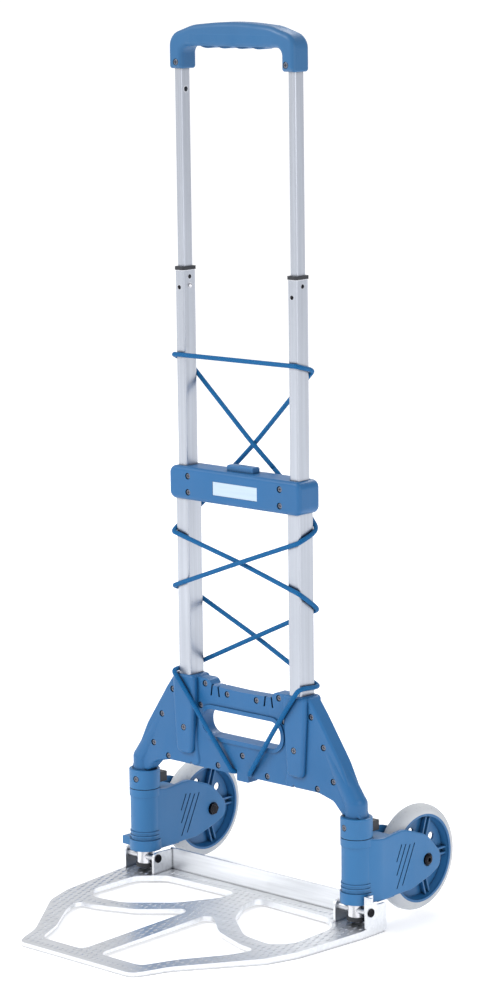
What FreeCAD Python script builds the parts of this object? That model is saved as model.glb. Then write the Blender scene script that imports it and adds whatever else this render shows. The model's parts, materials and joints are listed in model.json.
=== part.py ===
"""Folding telescopic hand truck: toe plate, A-frame, two-stage handle and folding wheel arms.

Millimetres.  +Z is up, -Y is the load side, the wheels stand behind at +Y, and X = 0 is the
plane of symmetry.  The origin lies on the floor, midway between the two legs' axes.
Every function builds one sub-part or one family of sub-parts; save() writes each to parts/.
"""
import FreeCAD, Part
import math
import os
from FreeCAD import Vector

# ---------------------------------------------------------------- driving dimensions
LEG_X = 168.0             # leg axes from the middle plane
TUBE_X = 87.0             # handle tubes from the middle plane
SIDES = {"left": -1, "right": 1}

WHEEL_R = 62.5
TYRE_W = 22.0
WHEEL_LIFT = 4.0          # the wheels hang clear of the floor while the plate lies flat
AXLE_Z = WHEEL_R + WHEEL_LIFT
ARM_REACH = 101.0         # leg axis to axle
WHEEL_OUT = 2.4           # wheel's middle plane outboard of the leg axis
RIM_R = 52.0
AXLE_R = 4.0

OUTER_W, OUTER_D, OUTER_WALL = 19.2, 25.0, 1.5
MID_W, MID_D, MID_WALL = 13.8, 21.2, 1.2
UPPER_W, UPPER_D, UPPER_WALL = 10.8, 16.2, 1.2
TUBE_CORNER = 3.0
OUTER_Z = (174.0, 508.0)  # bottom and top of each tube with the handle drawn out
MID_Z = (428.0, 743.0)
UPPER_Z = (694.0, 990.0)
UPPER_TRAVEL = 225.0      # the upper stage slides this far into the middle tubes

WING_HALF = 10.0          # half thickness of the frame's wings
RIDGE_HALF = 15.5         # half depth of the ridges round its tube sockets
WEB_HALF = 8.0            # half thickness of its middle web
FRAME_TOP = 266.0
WEB_TOP = 257.0           # at the middle; 7 mm higher at the ridges
ARCH_Z = 156.0            # underside between the legs
NECK_Z = 136.0            # bottom of the frame, on the collars
COLLAR_Z = 112.5          # bottom of the collars, on the hubs
HUB_Z = (36.0, 112.0)
LEG_R, LEG_WALL = 11.0, 2.0
LEG_Z = (19.0, 152.0)
COLLAR_R = 18.6
NECK_R = 13.2
NECK_TOP = 150.0          # the neck's ridge leans in towards the socket from here
RIDGE_END = (109.0, 243.0)
HUB_R = 17.6

CROSS_HALF_X, CROSS_HALF_Y = 102.0, 18.0
CROSS_Z = (476.0, 515.0)

GRIP_HALF_X, GRIP_HALF_Y = 96.0, 14.0
GRIP_Z = (973.5, 1027.0)
GRIP_UNDER_Z = 999.5      # underside of its bar

PIN_Y, PIN_Z, PIN_R = -5.0, 28.0, 4.0
PLATE_REAR_Y, PLATE_FRONT_Y = 22.5, -288.0
PLATE_TOP_REAR, PLATE_TOP_FRONT = 10.0, 5.5
PLATE_SHEET = 2.5
LUG_GAP = 22.0            # leg axis to the inner face of each lug
LUG_THICK = 3.0
FLANGE_TOP = 36.0

CORD_R = 2.75
FIT = 0.05                # radial clearance of a running fit
GAP = 0.3                 # clearance between parts that pass each other

HEAD_R, HEAD_H = 3.4, 2.0             # pan-head screws
SHANK_R, CROSS_SLOT, CROSS_HALF = 1.6, 0.8, 2.0
SEAT_R, SCREW_SEAT = 3.9, 3.0         # counterbore of a screw

os.makedirs("parts", exist_ok=True)


# ---------------------------------------------------------------- helpers
def save(name, shape):
    """Write one sub-part as a STEP file of clean solids."""
    solids = [solid for solid in shape.Solids]
    clean = solids[0] if len(solids) == 1 else Part.makeCompound(solids)
    clean.exportStep("parts/" + name + ".step")
    print("%-24s solids %d volume %.0f valid %s" % (name, len(solids), clean.Volume, clean.isValid()))


def fuse(shapes):
    """One solid from several that overlap."""
    first = shapes[0]
    return first.fuse(shapes[1:]).removeSplitter() if len(shapes) > 1 else first


def bundle(shapes):
    """Tools that may or may not touch, as one compound for a cut."""
    return Part.makeCompound(shapes)


def box(x0, x1, y0, y1, z0, z1):
    return Part.makeBox(x1 - x0, y1 - y0, z1 - z0, Vector(x0, y0, z0))


def rod(start, direction, radius, length):
    return Part.makeCylinder(radius, length, Vector(*start), Vector(*direction))


def mirrored(shape):
    """The same part on the other side of the middle plane."""
    return shape.mirror(Vector(0, 0, 0), Vector(1, 0, 0))


def to_side(shape, side):
    """A part drawn for the right-hand side, moved to the side given."""
    return shape if side > 0 else mirrored(shape)


def outline(corners, place):
    """Closed wire through corners (a, b, radius); place(a, b) puts a plane point in space."""
    ends = []
    for i, (a, b, radius) in enumerate(corners):
        here = Vector(a, b, 0)
        back = Vector(*corners[i - 1][:2], 0).sub(here)
        ahead = Vector(*corners[(i + 1) % len(corners)][:2], 0).sub(here)
        back.normalize()
        ahead.normalize()
        half = 0.5 * math.acos(max(-1.0, min(1.0, back.dot(ahead))))
        cut = radius / math.tan(half) if radius else 0.0
        middle = here
        if radius:
            bisector = back.add(ahead)
            bisector.normalize()
            middle = here + bisector * (radius / math.sin(half) - radius)
        ends.append((here + back * cut, middle, here + ahead * cut, radius))
    edges = []
    for i, (start, middle, end, radius) in enumerate(ends):
        if radius:
            edges.append(Part.Arc(place(start.x, start.y), place(middle.x, middle.y),
                                  place(end.x, end.y)).toShape())
        following = ends[(i + 1) % len(ends)][0]
        if end.distanceToPoint(following) > 1e-6:
            edges.append(Part.LineSegment(place(end.x, end.y),
                                          place(following.x, following.y)).toShape())
    return Part.Wire(edges)


def slab_xz(corners, y0, y1):
    wire = outline(corners, lambda a, b: Vector(a, y0, b))
    return Part.Face(wire).extrude(Vector(0, y1 - y0, 0))


def slab_yz(corners, x0, x1):
    wire = outline(corners, lambda a, b: Vector(x0, a, b))
    return Part.Face(wire).extrude(Vector(x1 - x0, 0, 0))


def slab_xy(corners, z0, z1):
    wire = outline(corners, lambda a, b: Vector(a, b, z0))
    return Part.Face(wire).extrude(Vector(0, 0, z1 - z0))


def bar(x, width, depth, z0, z1, radius=TUBE_CORNER, y=0.0):
    """Upright bar of rounded rectangular section, centred on (x, y)."""
    a, b = width / 2, depth / 2
    corners = [(x - a, y - b, radius), (x + a, y - b, radius),
               (x + a, y + b, radius), (x - a, y + b, radius)]
    return slab_xy(corners, z0, z1)


def tube(x, width, depth, wall, z0, z1):
    """Upright rectangular tube."""
    core = bar(x, width - 2 * wall, depth - 2 * wall, z0, z1, TUBE_CORNER - wall)
    return bar(x, width, depth, z0, z1).cut(core)


def edges_on(shape, test):
    """Edges whose middle point and both ends satisfy test(point)."""
    found = []
    for edge in shape.Edges:
        points = [edge.valueAt(edge.FirstParameter + share * (edge.LastParameter - edge.FirstParameter))
                  for share in (0.0, 0.5, 1.0)]
        if all(test(point) for point in points):
            found.append(edge)
    return found


def soften(shape, radius, test):
    """Round the edges picked by test."""
    return shape.makeFillet(radius, edges_on(shape, test))


def screw(x, z, face_y, direction, length=12.0):
    """Pan-head screw with a cross recess; its head lies on face_y and its shank runs along direction."""
    out = -direction
    top = face_y + out * HEAD_H
    head = rod((x, face_y, z), (0, out, 0), HEAD_R, HEAD_H)
    head = soften(head, CROSS_SLOT, lambda p: abs(p.y - top) < 1e-6)
    shank = rod((x, face_y, z), (0, direction, 0), SHANK_R, length)
    low, high = sorted((top, face_y + out * HEAD_H * 0.45))
    half = CROSS_SLOT / 2
    across = box(x - CROSS_HALF, x + CROSS_HALF, low, high, z - half, z + half)
    upright = box(x - half, x + half, low, high, z - CROSS_HALF, z + CROSS_HALF)
    return fuse([head, shank]).cut(fuse([across, upright]))


# ---------------------------------------------------------------- A-frame
WING_SCREWS = [(109.0, 244.0), (127.5, 211.0), (142.0, 173.5), (118.0, 161.0)]
WEB_SCREWS = [(58.0, 258.0), (66.0, 231.0), (23.0, 250.0), (39.0, 162.0)]
MIDDLE_SCREW = (0.0, 180.0)
SOCKET_SCREW_Z, SOCKET_SEAT = 202.0, 2.0
SLOT_HALF, SLOT_Z = 62.0, (197.0, 229.0)
SLOT_RIM = 2.0            # the carry slot's raised rim
TAB_HALF = 9.0            # the cord's hook tab, between two notches
NOTCH_X = 81.0            # small V notches in the lower edge
SLITS = [(37.0, 1.5), (47.0, -1.5)]   # paired slits in the web's upper edge: x, lean
SLIT_HALF, SLIT_DEEP = 1.2, 12.0


def wing(y0, y1):
    """Right-hand wing, from the tube socket down to the leg's neck."""
    inner, outer = LEG_X - NECK_R, LEG_X + NECK_R
    corners = [(70, FRAME_TOP, 5), (105, FRAME_TOP, 6), (120, 246, 14), (153.5, 196, 60),
               (176, 150, 30), (outer, NECK_Z, 0), (inner, NECK_Z, 0), (141, 150, 12),
               (118, ARCH_Z, 30), (66, ARCH_Z, 6), (72, 190, 10), (72, 235, 10)]
    return slab_xz(corners, y0, y1)


def socket_ridge(y0, y1):
    """Right-hand ridge round the socket of an outer tube."""
    corners = [(69.5, FRAME_TOP, 5.5), (104.5, FRAME_TOP, 5.5), (104.5, 240, 10), (100, 170, 8),
               (75, 170, 8), (70, 240, 10)]
    return slab_xz(corners, y0, y1)


def neck():
    """Right-hand neck that holds the leg's top end, with a ridge that dies away up the wing's edge."""
    knee = Vector(LEG_X, 0, NECK_TOP)
    along = Vector(RIDGE_END[0], 0, RIDGE_END[1]) - knee
    straight = rod((LEG_X, 0, NECK_Z), (0, 0, 1), NECK_R, NECK_TOP - NECK_Z)
    ridge = Part.makeCone(NECK_R - 0.2, WING_HALF - 1.6, along.Length, knee, along)
    return fuse([straight, Part.makeSphere(NECK_R, knee), ridge])


def web(y0, y1):
    """Middle web with a raised step at each ridge."""
    high = WEB_TOP + 7.0
    return slab_xz([(-80, high, 0), (-52, high, 6), (-46, WEB_TOP, 6), (0, WEB_TOP - 1, 90),
                    (46, WEB_TOP, 6), (52, high, 6), (80, high, 0), (80, ARCH_Z, 0),
                    (-80, ARCH_Z, 0)], y0, y1)


def slot_outline(grow):
    """Corners of the carry slot, widened by grow all round."""
    x, low, high, radius = SLOT_HALF + grow, SLOT_Z[0] - grow, SLOT_Z[1] + grow, 15.0 + grow
    return [(-x, low, radius), (x, low, radius), (x, high, radius), (-x, high, radius)]


def edge_cuts(side, facing):
    """V notch, cord notch and top slits of one side of the frame."""
    deepest = RIDGE_HALF + 1
    notch_x, half = side * (TAB_HALF + CORD_R + 0.6), CORD_R + 0.6
    cuts = [box(notch_x - half, notch_x + half, -deepest, deepest, ARCH_Z - 1, ARCH_Z + 6)]
    x = side * NOTCH_X
    cuts.append(slab_xz([(x - 3, ARCH_Z - 1, 0), (x + 3, ARCH_Z - 1, 0), (x, ARCH_Z + 5, 0.8)],
                        -deepest, deepest))
    span = sorted((facing * (WEB_HALF - 3.0), facing * (WEB_HALF + 3.0)))
    low, high = WEB_TOP - SLIT_DEEP, WEB_TOP + 8.0
    for distance, lean in SLITS:
        foot, head = side * (distance - lean), side * (distance + lean)
        cuts.append(slab_xz([(foot - SLIT_HALF, low, 0), (foot + SLIT_HALF, low, 0),
                             (head + SLIT_HALF, high, 0), (head - SLIT_HALF, high, 0)], *span))
    return cuts


def frame_shell(facing):
    """Half of the A-frame split at Y = 0; facing is -1 for the load side, +1 for the wheel side."""
    wing_face, ridge_face, web_face = (facing * half for half in (WING_HALF, RIDGE_HALF, WEB_HALF))
    panel = soften(wing(*sorted((0.0, wing_face))), 3.6, lambda p: abs(p.y - wing_face) < 1e-6)
    ridge = soften(socket_ridge(*sorted((0.0, ridge_face))), 4.4, lambda p: abs(p.y - ridge_face) < 1e-6)
    half_space = box(0, 250, *sorted((0.0, facing * 30.0)), 0, 300)
    side_parts = [panel, ridge, neck().common(half_space)]
    rim_face = web_face + facing * SLOT_RIM
    middle = [web(*sorted((0.0, web_face))),
              slab_xz(slot_outline(5.0), *sorted((0.0, rim_face))),
              box(-TAB_HALF, TAB_HALF, *sorted((0.0, web_face)), ARCH_Z - 7, ARCH_Z + 1)]
    body = fuse(side_parts + [mirrored(part) for part in side_parts] + middle)
    cuts = [slab_xz(slot_outline(0.0), -RIDGE_HALF, RIDGE_HALF)]
    for side in SIDES.values():
        cuts.append(bar(side * TUBE_X, OUTER_W, OUTER_D, OUTER_Z[0], FRAME_TOP + 1))
        cuts.append(rod((side * LEG_X, 0, NECK_Z - 1), (0, 0, 1), LEG_R, LEG_Z[1] - NECK_Z + 1))
        cuts += edge_cuts(side, facing)
    for x, z, depth, seat, length in screw_places():
        if facing < 0:
            cuts.append(rod((x, -depth + seat, z), (0, -1, 0), SEAT_R, seat + 1))
            cuts.append(rod((x, -depth, z), (0, 1, 0), SHANK_R, depth))
        elif length > depth - seat:
            cuts.append(rod((x, 0, z), (0, 1, 0), SHANK_R, length - depth + seat + 1))
    return body.cut(bundle(cuts))


def screw_places():
    """x, z, the shell's half thickness, the seat's depth and the shank's length at each frame screw."""
    thin = (WEB_HALF, SCREW_SEAT, WEB_HALF + 2.0)
    thick = (WING_HALF, SCREW_SEAT, WING_HALF + 2.0)
    places = [MIDDLE_SCREW + thin]
    for side in SIDES.values():
        places += [(side * x, z) + thick for x, z in WING_SCREWS]
        places += [(side * x, z) + thin for x, z in WEB_SCREWS]
        places.append((side * TUBE_X, SOCKET_SCREW_Z, RIDGE_HALF, SOCKET_SEAT, 5.0))
    return places


def frame_screws():
    screws = [screw(x, z, -depth + seat, 1, length) for x, z, depth, seat, length in screw_places()]
    return Part.makeCompound(screws)


def outer_tube(side):
    """Fixed tube of the handle, with a hole for the screw that holds it in its socket."""
    shape = tube(TUBE_X, OUTER_W, OUTER_D, OUTER_WALL, *OUTER_Z)
    shape = shape.cut(rod((TUBE_X, 0, SOCKET_SCREW_Z), (0, -1, 0), SHANK_R, OUTER_D))
    return to_side(shape, side)


# ---------------------------------------------------------------- legs
def leg_tube(side):
    """Round leg; the toe plate's hinge pin crosses its foot."""
    shape = rod((LEG_X, 0, LEG_Z[0]), (0, 0, 1), LEG_R, LEG_Z[1] - LEG_Z[0])
    shape = shape.cut(rod((LEG_X, 0, LEG_Z[0] - 1), (0, 0, 1), LEG_R - LEG_WALL, LEG_Z[1]))
    shape = shape.cut(rod((LEG_X - 30, PIN_Y, PIN_Z), (1, 0, 0), PIN_R + FIT, 60))
    return to_side(shape, side)


def foot_plug(side):
    """Plastic plug in the leg's foot, with a collar under the tube's end."""
    flange = rod((LEG_X, 0, LEG_Z[0] - 5), (0, 0, 1), LEG_R + 1.0, 5.0)
    flange = soften(flange, 1.2, lambda p: abs(p.z - (LEG_Z[0] - 5)) < 1e-6)
    shank = rod((LEG_X, 0, LEG_Z[0]), (0, 0, 1), LEG_R - LEG_WALL, 22.0)
    shape = fuse([flange, shank])
    shape = shape.cut(rod((LEG_X - 30, PIN_Y, PIN_Z), (1, 0, 0), PIN_R + FIT, 60))
    return to_side(shape, side)


COLLAR_SCREW_X, COLLAR_SCREW_Z = LEG_X - 3.0, 125.4
COLLAR_SEAT_Y = -COLLAR_R + 2.5


def collar(side):
    """Clamp ring between the frame's neck and the wheel arm's hub."""
    height = NECK_Z - COLLAR_Z
    ring = rod((LEG_X, 0, COLLAR_Z), (0, 0, 1), COLLAR_R, height)
    ring = soften(ring, 1.0, lambda p: abs(p.z - NECK_Z) < 1e-6 or abs(p.z - COLLAR_Z) < 1e-6)
    ring = ring.cut(rod((LEG_X, 0, COLLAR_Z - 1), (0, 0, 1), LEG_R, height + 2))
    seat = rod((COLLAR_SCREW_X, COLLAR_SEAT_Y, COLLAR_SCREW_Z), (0, -1, 0), SEAT_R, 5.0)
    hole = rod((COLLAR_SCREW_X, COLLAR_SEAT_Y, COLLAR_SCREW_Z), (0, 1, 0), SHANK_R, 5.0)
    return to_side(ring.cut(seat).cut(hole), side)


def collar_screws():
    screws = [screw(side * COLLAR_SCREW_X, COLLAR_SCREW_Z, COLLAR_SEAT_Y, 1, 5.0)
              for side in SIDES.values()]
    return Part.makeCompound(screws)


def stop_block(side):
    """Block behind the collar that the unfolded wheel arm's lock rests against."""
    shape = box(LEG_X - 7, LEG_X + 7, COLLAR_R - 2, COLLAR_R + 14, COLLAR_Z + 2.5, COLLAR_Z + 14.5)
    shape = soften(shape, 2.0, lambda p: abs(p.y - (COLLAR_R + 14)) < 1e-6)
    shape = shape.cut(rod((LEG_X, 0, COLLAR_Z - 1), (0, 0, 1), COLLAR_R, 40))
    return to_side(shape, side)


# ---------------------------------------------------------------- crossbar and its release
BUTTON_HALF_X, BUTTON_HALF_Y = 20.0, 6.0
BUTTON_TOP = 522.0
BUTTON_TRAVEL = 4.0       # stated in the record
LOCK_Z = (492.0, 499.0)
CROSS_SCREWS = [(71.5, 485.5), (71.5, 504.5)]
LABEL_X, LABEL_Z = (-32.0, 37.0), (486.5, 502.5)


def crossbar_shell(facing):
    """Half of the crossbar that clamps the outer tubes' tops and holds the stage lock."""
    face = facing * CROSS_HALF_Y
    corners = [(-CROSS_HALF_X, CROSS_Z[0], 9), (CROSS_HALF_X, CROSS_Z[0], 9),
               (CROSS_HALF_X, CROSS_Z[1], 9), (-CROSS_HALF_X, CROSS_Z[1], 9)]
    body = slab_xz(corners, *sorted((0.0, face)))
    body = soften(body, 5.0, lambda p: abs(p.y - face) < 1e-6)
    cuts = []
    for side in SIDES.values():
        cuts.append(bar(side * TUBE_X, OUTER_W, OUTER_D, CROSS_Z[0] - 1, OUTER_Z[1]))
        cuts.append(bar(side * TUBE_X, MID_W + 2 * GAP, MID_D + 2 * GAP, CROSS_Z[0], CROSS_Z[1] + 1))
        for x, z in CROSS_SCREWS:
            if facing < 0:
                cuts.append(rod((side * x, face - 1, z), (0, 1, 0), SEAT_R, SCREW_SEAT + 1))
                cuts.append(rod((side * x, face, z), (0, 1, 0), SHANK_R, CROSS_HALF_Y))
            else:
                cuts.append(rod((side * x, 0, z), (0, 1, 0), SHANK_R, 6.0))
    cuts.append(box(-BUTTON_HALF_X - GAP, BUTTON_HALF_X + GAP, -BUTTON_HALF_Y - GAP,
                    BUTTON_HALF_Y + GAP, LOCK_Z[0] - 14, CROSS_Z[1] + 1))
    cuts.append(box(-TUBE_X + OUTER_W / 2 + 1, TUBE_X - OUTER_W / 2 - 1, -4 - GAP, 4 + GAP,
                    LOCK_Z[0] - BUTTON_TRAVEL - 1, LOCK_Z[1] + 1))
    if facing < 0:
        cuts.append(box(*LABEL_X, face - 1, face + 1.0, *LABEL_Z))
    return body.cut(bundle(cuts))


def crossbar_screws():
    screws = []
    for side in SIDES.values():
        for x, z in CROSS_SCREWS:
            screws.append(screw(side * x, z, -CROSS_HALF_Y + SCREW_SEAT, 1, CROSS_HALF_Y + 2.0))
    return Part.makeCompound(screws)


def label_plate():
    """Blank plate let into the crossbar's face."""
    gap = 0.2
    return box(LABEL_X[0] + gap, LABEL_X[1] - gap, -CROSS_HALF_Y + 0.3, -CROSS_HALF_Y + 1.0,
               LABEL_Z[0] + gap, LABEL_Z[1] - gap)


def release_button():
    """Push button on the crossbar; its stem carries the lock bar."""
    cap = box(-BUTTON_HALF_X, BUTTON_HALF_X, -BUTTON_HALF_Y, BUTTON_HALF_Y, LOCK_Z[1], BUTTON_TOP)
    return soften(cap, 2.0, lambda p: abs(p.z - BUTTON_TOP) < 1e-6)


def lock_bar():
    """Bar that the button pushes down, with a hook towards each tube."""
    reach = TUBE_X - OUTER_W / 2 - 1.5
    beam = box(-reach, reach, -4, 4, *LOCK_Z)
    stud = rod((0, 0, LOCK_Z[0] - 4), (0, 0, 1), 2.5, 4.0)
    return fuse([beam, stud])


def coil(x, y, z0, z1, radius, wire_r, turns):
    """Helical compression spring standing on z0."""
    pitch = (z1 - z0 - 2 * wire_r) / turns
    helix = Part.makeHelix(pitch, pitch * turns, radius)
    helix.translate(Vector(x, y, z0 + wire_r))
    section = Part.makeCircle(wire_r, Vector(x + radius, y, z0 + wire_r), Vector(0, 1, 0))
    return Part.Wire(helix.Edges).makePipeShell([Part.Wire([section])], True, True)


# ---------------------------------------------------------------- telescopic tubes
def cap_ring(width, depth, hole_w, hole_d, z0, z1, side):
    """Thin cap round a tube's mouth."""
    ring = bar(TUBE_X, width, depth, z0, z1).cut(bar(TUBE_X, hole_w, hole_d, z0 - 1, z1 + 1, 2.5))
    return to_side(ring, side)


def glide(width, depth, tube_w, tube_d, wall, z, side):
    """Slide block on a tube's lower end, with a spigot up inside it."""
    block = bar(TUBE_X, width, depth, z - 8.0, z, 2.0)
    spigot = bar(TUBE_X, tube_w - 2 * wall, tube_d - 2 * wall, z, z + 10.0, TUBE_CORNER - wall)
    return to_side(fuse([block, spigot]), side)


SNAP_Z = 725.0            # spring button on the left middle tube
SNAP_R = 2.6
RIVET_HEAD_R, RIVET_R = 3.4, 2.0
SIDE_RIVET_Z, FACE_RIVET_Z = 735.0, 723.0


def mid_tube(side):
    shape = tube(TUBE_X, MID_W, MID_D, MID_WALL, *MID_Z)
    shape = to_side(shape, side)
    face_x = side * TUBE_X + MID_W / 2
    shape = shape.cut(rod((face_x - 3, 0, SIDE_RIVET_Z), (1, 0, 0), RIVET_R, 6))
    shape = shape.cut(rod((side * TUBE_X, -MID_D / 2 + 3, FACE_RIVET_Z), (0, -1, 0), RIVET_R, 6))
    if side < 0:
        shape = shape.cut(rod((face_x - 3, 0, SNAP_Z), (1, 0, 0), SNAP_R, 6))
    return shape


def stage_rivets():
    """Round-head rivets that fix the guide bush inside each middle tube's mouth."""
    rivets = []
    sink = 2.2
    for side in SIDES.values():
        face_x = side * TUBE_X + MID_W / 2
        ball = Part.makeSphere(RIVET_HEAD_R, Vector(face_x - sink, 0, SIDE_RIVET_Z))
        head = ball.common(box(face_x, face_x + 5, -6, 6, SIDE_RIVET_Z - 6, SIDE_RIVET_Z + 6))
        shank = rod((face_x - MID_WALL, 0, SIDE_RIVET_Z), (1, 0, 0), RIVET_R, MID_WALL + 0.6)
        rivets.append(fuse([head, shank]))
        x, face_y = side * TUBE_X, -MID_D / 2
        ball = Part.makeSphere(RIVET_HEAD_R, Vector(x, face_y + sink, FACE_RIVET_Z))
        head = ball.common(box(x - 6, x + 6, face_y - 5, face_y, FACE_RIVET_Z - 6, FACE_RIVET_Z + 6))
        shank = rod((x, face_y + MID_WALL, FACE_RIVET_Z), (0, -1, 0), RIVET_R, MID_WALL + 0.6)
        rivets.append(fuse([head, shank]))
    return Part.makeCompound(rivets)


def snap_button():
    """Domed spring button in the left middle tube's wall; it pushes in towards -X."""
    face_x = -TUBE_X + MID_W / 2
    stem = rod((face_x - MID_WALL + 0.1, 0, SNAP_Z), (1, 0, 0), SNAP_R - FIT, MID_WALL + 0.6)
    dome = Part.makeSphere(3.0, Vector(face_x - 0.6, 0, SNAP_Z))
    dome = dome.common(box(face_x + 0.4, face_x + 4, -4, 4, SNAP_Z - 4, SNAP_Z + 4))
    dome = dome.common(rod((face_x, 0, SNAP_Z), (1, 0, 0), SNAP_R - FIT, 4))
    return fuse([stem, dome])


def upper_tube(side):
    """Upper tube; the left one has a hole for the spring button at each end of its travel."""
    shape = to_side(tube(TUBE_X, UPPER_W, UPPER_D, UPPER_WALL, *UPPER_Z), side)
    if side < 0:
        for z in (SNAP_Z, SNAP_Z + UPPER_TRAVEL):
            shape = shape.cut(rod((-TUBE_X + UPPER_W / 2 - 3, 0, z), (1, 0, 0), SNAP_R + 0.4, 6))
    return shape


# ---------------------------------------------------------------- grip
INSERT_HALF = 62.0        # soft insert under the grip's bar
INSERT_TOP_Z = GRIP_Z[1] - 14.0
LOBES, LOBE_PITCH, LOBE_DROP = 4, 26.0, 2.2
LOBE_HALF_Y = 8.0
GRIP_SCREW_X, GRIP_SCREW_Z = 84.0, 981.0
GRIP_LEG = 20.0           # width of the grip's legs


def grip_core():
    """Whole grip: a bow on two sockets."""
    half, low, high = GRIP_HALF_X, GRIP_Z[0], GRIP_Z[1]
    inner = half - GRIP_LEG
    corners = [(-half, low, 2), (-half, high - 15, 18), (-60, high - 3.6, 60), (0, high + 1.4, 400),
               (60, high - 3.6, 60), (half, high - 15, 18), (half, low, 2), (inner, low, 2),
               (inner, GRIP_UNDER_Z, 9), (-inner, GRIP_UNDER_Z, 9), (-inner, low, 2)]
    body = slab_xz(corners, -GRIP_HALF_Y, GRIP_HALF_Y)
    return soften(body, 6.0, lambda p: abs(abs(p.y) - GRIP_HALF_Y) < 1e-6)


def finger_lobes():
    """Shallow lobes for the fingers, standing down from the bar's underside."""
    half = LOBE_PITCH / 2 - 2.0
    radius = (half ** 2 + LOBE_DROP ** 2) / (2 * LOBE_DROP)
    lobes = []
    for count in range(LOBES):
        x = (count - (LOBES - 1) / 2) * LOBE_PITCH
        lobe = rod((x, -LOBE_HALF_Y, GRIP_UNDER_Z - LOBE_DROP + radius), (0, 1, 0), radius, 2 * LOBE_HALF_Y)
        lobes.append(lobe.common(box(x - 20, x + 20, -20, 20, GRIP_UNDER_Z - 5, GRIP_UNDER_Z + 2)))
    return lobes


def grip_body():
    """Grip without the space of its soft insert, bored for the upper tubes and their screws."""
    space = box(-INSERT_HALF, INSERT_HALF, -GRIP_HALF_Y - 1, GRIP_HALF_Y + 1, GRIP_Z[0], INSERT_TOP_Z)
    cuts = [space]
    for side in SIDES.values():
        cuts.append(bar(side * TUBE_X, UPPER_W, UPPER_D, GRIP_Z[0] - 1, UPPER_Z[1]))
        cuts.append(rod((side * GRIP_SCREW_X, -GRIP_HALF_Y - 1, GRIP_SCREW_Z), (0, 1, 0),
                        SEAT_R, SCREW_SEAT))
        cuts.append(rod((side * GRIP_SCREW_X, -GRIP_HALF_Y, GRIP_SCREW_Z), (0, 1, 0), SHANK_R, 7.0))
    return grip_core().cut(bundle(cuts))


def grip_insert():
    block = box(-INSERT_HALF, INSERT_HALF, -GRIP_HALF_Y - 1, GRIP_HALF_Y + 1, GRIP_Z[0], INSERT_TOP_Z)
    return fuse([grip_core().common(block)] + finger_lobes())


def grip_screws():
    screws = [screw(side * GRIP_SCREW_X, GRIP_SCREW_Z, -GRIP_HALF_Y + SCREW_SEAT - 1, 1, 3.9)
              for side in SIDES.values()]
    return Part.makeCompound(screws)


# ---------------------------------------------------------------- wheel arms
# The arms are drawn on the leg's own axis and moved out to LEG_X at the end.
PLATE_IN = 15.3           # wheel's middle plane to a fork cheek's inner face
PLATE_THICK = 4.0
CHEEK_OUT = WHEEL_OUT + PLATE_IN + PLATE_THICK
CHEEK_IN = WHEEL_OUT - PLATE_IN - PLATE_THICK
BLEND_Y = 14.0            # the cheeks leave the hub's side over this length
NOSE = [(0.0, HUB_Z[0], 0), (0.0, HUB_Z[1], 0), (24.0, 108.5, 24), (58.0, 112.0, 40), (100.0, 97.0, 40),
        (126.0, 70.0, 17), (123.5, 54.0, 11), (106.0, 46.0, 30), (74.0, 37.0, 30)]
GROOVES = [((45.0, 76.0), (54.0, 95.0)), ((45.0, 60.0), (61.5, 94.0)),
           ((45.0, 44.0), (69.0, 92.0)), ((55.0, 46.0), (77.0, 92.0))]
GROOVE_HALF, GROOVE_DEEP = 0.8, 1.1
SEAT_DEEP, BOLT_SEAT_R = 1.5, 8.0     # seats of the axle bolt and its nut
HUB_RINGS = [(HUB_Z[1] - 9.0, 1.0, 9.0), (58.0, 1.0, 1.6), (53.0, 1.0, 1.6), (HUB_Z[0], 1.9, 13.0)]


def cheek(outer):
    """Side of the fork on the +X side: flat along the wheel and drawn in to the hub's side."""
    inner, foot, core = outer - PLATE_THICK, HUB_R - 0.4, HUB_R / 2
    plan = [(core, 0, 0), (foot, 0, 0), (outer, BLEND_Y, 40), (outer, 135, 0), (inner, 135, 0),
            (inner, 26, 0), (core, BLEND_Y, 0)]
    shape = slab_yz(NOSE, core - 1, outer + 1).common(slab_xy(plan, HUB_Z[0] - 1, HUB_Z[1] + 10))
    slope = (outer - foot) / BLEND_Y
    shape = soften(shape, 2.2, lambda p: p.y > 1 and p.x > min(outer, foot + slope * p.y) - 0.6)
    cuts = []
    for (y0, z0), (y1, z1) in GROOVES:
        groove = box(outer - GROOVE_DEEP, outer + 1, -GROOVE_HALF, GROOVE_HALF,
                     0, math.hypot(y1 - y0, z1 - z0))
        groove.rotate(Vector(0, 0, 0), Vector(1, 0, 0), -math.degrees(math.atan2(y1 - y0, z1 - z0)))
        groove.translate(Vector(0, y0, z0))
        cuts.append(groove)
    cuts.append(rod((outer - SEAT_DEEP, ARM_REACH, AXLE_Z), (1, 0, 0), BOLT_SEAT_R, 5))
    return shape.cut(bundle(cuts))


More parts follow.
